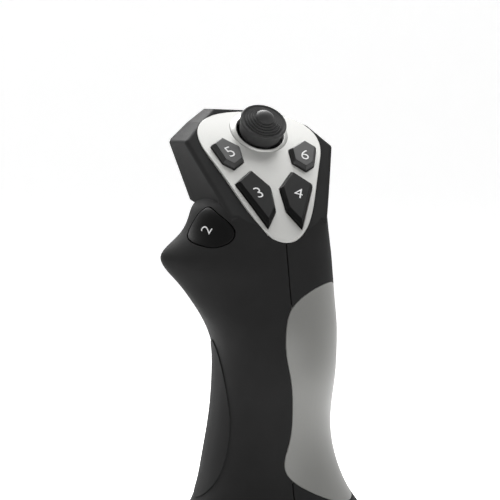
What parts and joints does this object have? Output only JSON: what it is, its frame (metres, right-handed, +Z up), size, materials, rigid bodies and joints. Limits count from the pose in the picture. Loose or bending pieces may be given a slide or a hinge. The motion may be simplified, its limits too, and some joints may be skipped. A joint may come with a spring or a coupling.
{
  "type": "flight joystick",
  "caption": "Desk flight joystick: contoured right-hand grip with hat, thumb and head buttons and trigger, on a two-axis gimbal with twist, over a base with a throttle lever.",
  "frame": {"origin": "centre of the base's footprint on the desk, under the stick axis", "axes": "+Z up along the stick, +X to the user's right, -Y toward the user"},
  "size_m": [0.19, 0.186, 0.2312],
  "materials": {
    "black_shell": "fine matte texture",
    "silver_paint": "satin silver paint",
    "grey_insert": "satin silver-grey paint",
    "button_black": "satin",
    "button_grey": "satin",
    "hat_rubber": "soft satin",
    "foot_rubber": "matte",
    "dome_black": "satin",
    "inner_plastic": "moulded",
    "bush_plastic": "natural",
    "steel": "bright",
    "board": "solder mask",
    "switch_body": "moulded",
    "gland_rubber": "matte",
    "loom_sleeve": "braided sleeve"
  },
  "bodies": {
    "root": {"base_housing": "black_shell", "collar_trim": "silver_paint", "bottom_plate": "inner_plastic", "rubber_feet": "foot_rubber", "housing_screws": "steel", "frame_screws": "steel", "gimbal_frame": "inner_plastic", "roll_pot": "inner_plastic", "roll_spring": "steel", "base_board": "board", "side_boards": "board", "base_switches": "switch_body", "cord_gland": "gland_rubber", "throttle_pot": "inner_plastic"},
    "roll_yoke": {"outer_yoke": "inner_plastic", "pitch_pot": "inner_plastic", "pitch_spring": "steel"},
    "pitch_block": {"inner_block": "inner_plastic", "shaft_bushes": "bush_plastic", "dust_dome": "dome_black", "twist_sensor": "inner_plastic"},
    "grip": {"twist_shaft": "steel", "shaft_clip": "steel", "twist_spring": "steel", "grip_shell_left": "black_shell", "grip_shell_right": "black_shell", "palm_insert": "grey_insert", "grip_screws": "steel", "top_plate": "silver_paint", "hat_collar": "silver_paint", "hat_housing": "inner_plastic", "grip_board": "board", "grip_switches": "switch_body", "thumb_board": "board", "thumb_switch": "switch_body", "trigger_pin": "steel", "trigger_spring": "steel", "trigger_switch": "switch_body", "wire_loom": "loom_sleeve"},
    "hat_gimbal": {"hat_ring": "inner_plastic"},
    "hat": {"hat_stem": "inner_plastic", "hat_cap": "hat_rubber"},
    "trigger": {"trigger": "button_black"},
    "thumb_button": {"thumb_button": "button_black"},
    "throttle": {"throttle_lever": "button_black", "throttle_shaft": "inner_plastic"},
    "button_3": {"button_3": "button_black"},
    "button_4": {"button_4": "button_black"},
    "button_5": {"button_5": "button_grey"},
    "button_6": {"button_6": "button_grey"},
    "base_button_7": {"base_button_7": "button_black"},
    "base_button_8": {"base_button_8": "button_black"},
    "base_button_9": {"base_button_9": "button_black"},
    "base_button_10": {"base_button_10": "button_black"},
    "base_button_11": {"base_button_11": "button_black"},
    "base_button_12": {"base_button_12": "button_black"}
  },
  "joints": [
    {"name": "stick_roll", "type": "hinge", "parent": "root", "child": "roll_yoke", "pos_m": [0, 0, 0.028], "axis": [0, 1, 0], "range_deg": [-15, 15], "stiffness_Nm_per_rad": 1.2},
    {"name": "stick_pitch", "type": "hinge", "parent": "roll_yoke", "child": "pitch_block", "pos_m": [0, 0, 0.028], "axis": [1, 0, 0], "range_deg": [-15, 15], "stiffness_Nm_per_rad": 1.2},
    {"name": "stick_twist", "type": "hinge", "parent": "pitch_block", "child": "grip", "pos_m": [0, 0, 0.028], "axis": [0, 0, 1], "range_deg": [-15, 15], "stiffness_Nm_per_rad": 0.4},
    {"name": "hat_tilt_side", "type": "hinge", "parent": "grip", "child": "hat_gimbal", "pos_m": [0, 0.03055, 0.21685], "axis": [1, 0, 0], "range_deg": [-6, 6], "stiffness_Nm_per_rad": 0.03},
    {"name": "hat_tilt_slope", "type": "hinge", "parent": "hat_gimbal", "child": "hat", "pos_m": [0, 0.03055, 0.21685], "axis": [0, 0.7071, 0.7071], "range_deg": [-6, 6], "stiffness_Nm_per_rad": 0.03},
    {"name": "press_3", "type": "slide", "parent": "grip", "child": "button_3", "axis": [0, 0.7071, -0.7071], "range_m": [0, 0.0012], "stiffness_N_per_m": 800},
    {"name": "press_4", "type": "slide", "parent": "grip", "child": "button_4", "axis": [0, 0.7071, -0.7071], "range_m": [0, 0.0012], "stiffness_N_per_m": 800},
    {"name": "press_5", "type": "slide", "parent": "grip", "child": "button_5", "axis": [0, 0.7071, -0.7071], "range_m": [0, 0.0012], "stiffness_N_per_m": 800},
    {"name": "press_6", "type": "slide", "parent": "grip", "child": "button_6", "axis": [0, 0.7071, -0.7071], "range_m": [0, 0.0012], "stiffness_N_per_m": 800},
    {"name": "press_thumb", "type": "slide", "parent": "grip", "child": "thumb_button", "axis": [0.6017, 0.6217, -0.5014], "range_m": [0, 0.0013], "stiffness_N_per_m": 800},
    {"name": "trigger_pull", "type": "hinge", "parent": "grip", "child": "trigger", "pos_m": [0, 0.033, 0.199], "axis": [-1, 0, 0], "range_deg": [0, 7], "stiffness_Nm_per_rad": 0.15},
    {"name": "press_7", "type": "slide", "parent": "root", "child": "base_button_7", "axis": [0, 0, -1], "range_m": [0, 0.0014], "stiffness_N_per_m": 800},
    {"name": "press_8", "type": "slide", "parent": "root", "child": "base_button_8", "axis": [0, 0, -1], "range_m": [0, 0.0014], "stiffness_N_per_m": 800},
    {"name": "press_9", "type": "slide", "parent": "root", "child": "base_button_9", "axis": [0, 0, -1], "range_m": [0, 0.0014], "stiffness_N_per_m": 800},
    {"name": "press_10", "type": "slide", "parent": "root", "child": "base_button_10", "axis": [0, 0, -1], "range_m": [0, 0.0014], "stiffness_N_per_m": 800},
    {"name": "press_11", "type": "slide", "parent": "root", "child": "base_button_11", "axis": [0, 0, -1], "range_m": [0, 0.0014], "stiffness_N_per_m": 800},
    {"name": "press_12", "type": "slide", "parent": "root", "child": "base_button_12", "axis": [0, 0, -1], "range_m": [0, 0.0014], "stiffness_N_per_m": 800},
    {"name": "throttle_sweep", "type": "hinge", "parent": "root", "child": "throttle", "pos_m": [0, -0.076, 0.03], "axis": [1, 0, 0], "range_deg": [-20, 20]}
  ]
}
